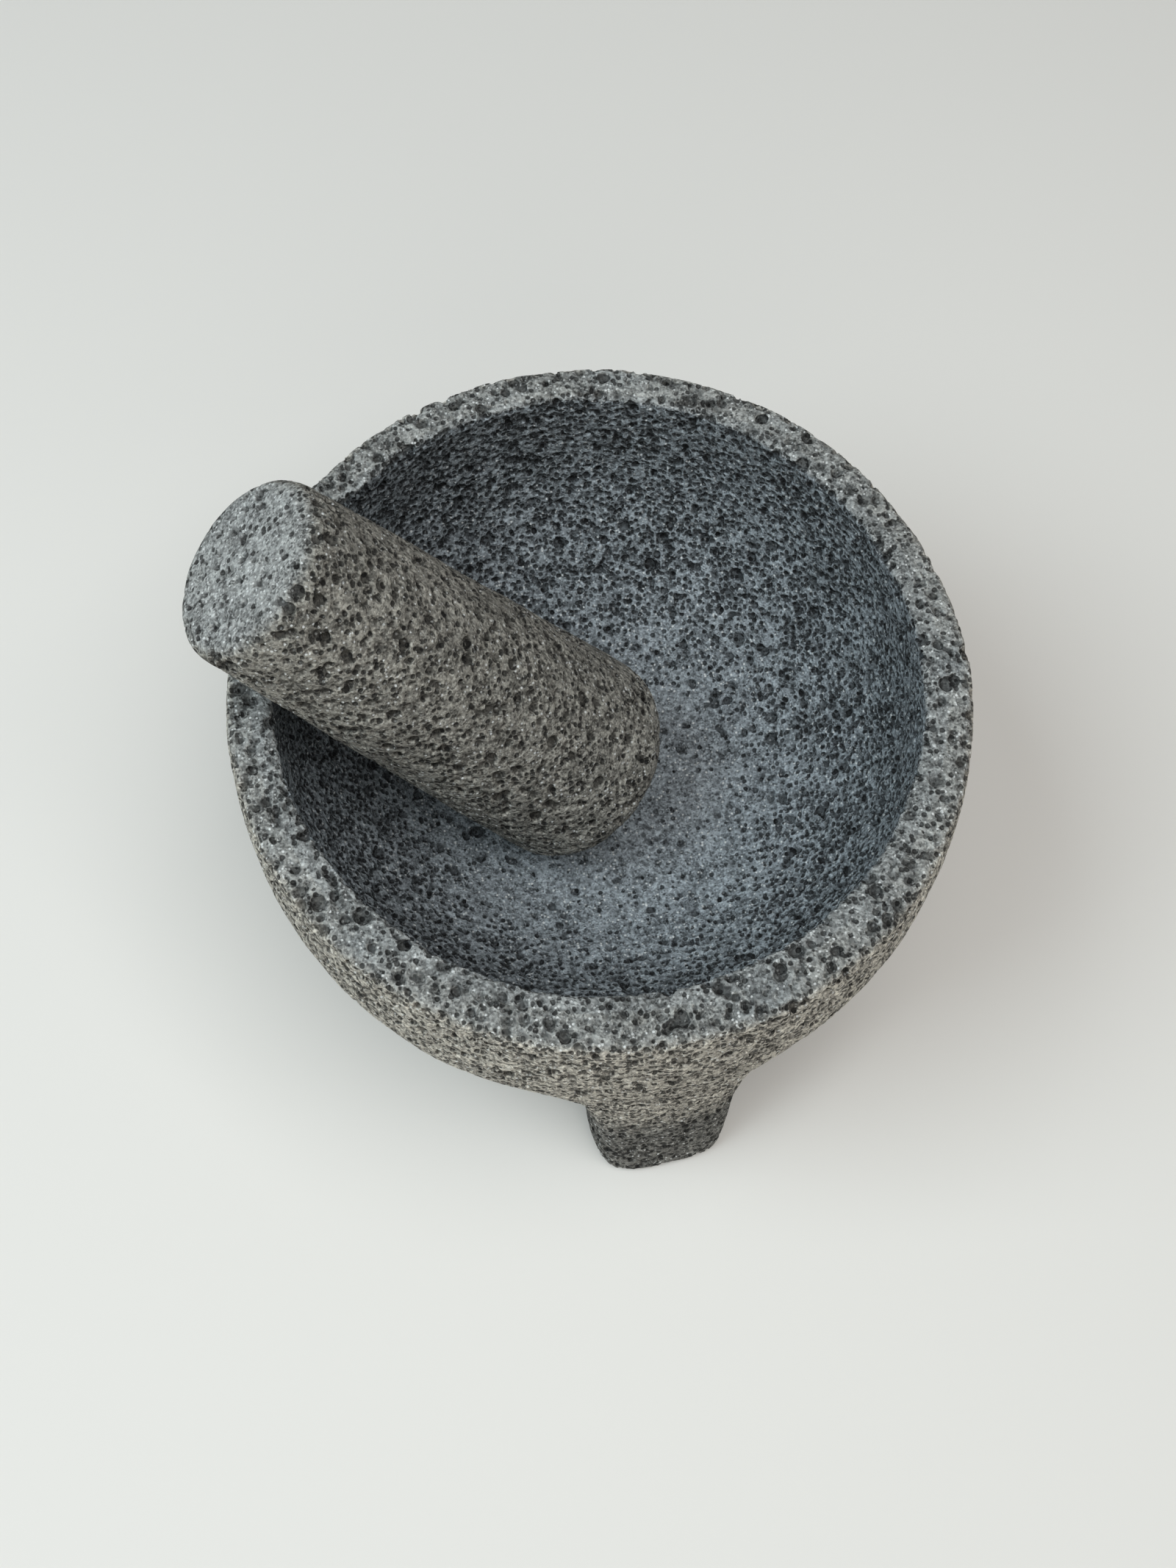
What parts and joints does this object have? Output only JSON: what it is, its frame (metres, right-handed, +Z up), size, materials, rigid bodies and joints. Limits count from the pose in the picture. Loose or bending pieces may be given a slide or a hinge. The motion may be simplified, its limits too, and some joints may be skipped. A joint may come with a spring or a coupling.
{
  "type": "mortar and pestle",
  "caption": "Mortar bowl on short legs, carved from vesicular volcanic stone, with a tapered round pestle leaning in it, for grinding spices and sauces by hand.",
  "frame": {"origin": "under the middle of the bowl, on the surface that the three feet stand on", "axes": "+Z up, -Y towards the front leg, +X to the right when facing that leg"},
  "size_m": [0.2048, 0.2114, 0.1837],
  "materials": {
    "mortar_stone": "dark grey vesicular basalt, matte, pitted all over",
    "pestle_stone": "olive grey vesicular basalt, matte, with sparser pits"
  },
  "bodies": {
    "mortar": {"mortar": "mortar_stone"},
    "pestle": {"pestle": "pestle_stone"}
  },
  "joints": [
    {"name": "pestle_lift", "type": "slide", "parent": "mortar", "child": "pestle", "axis": [0, 0, 1], "range_m": [0, 0.12]}
  ]
}
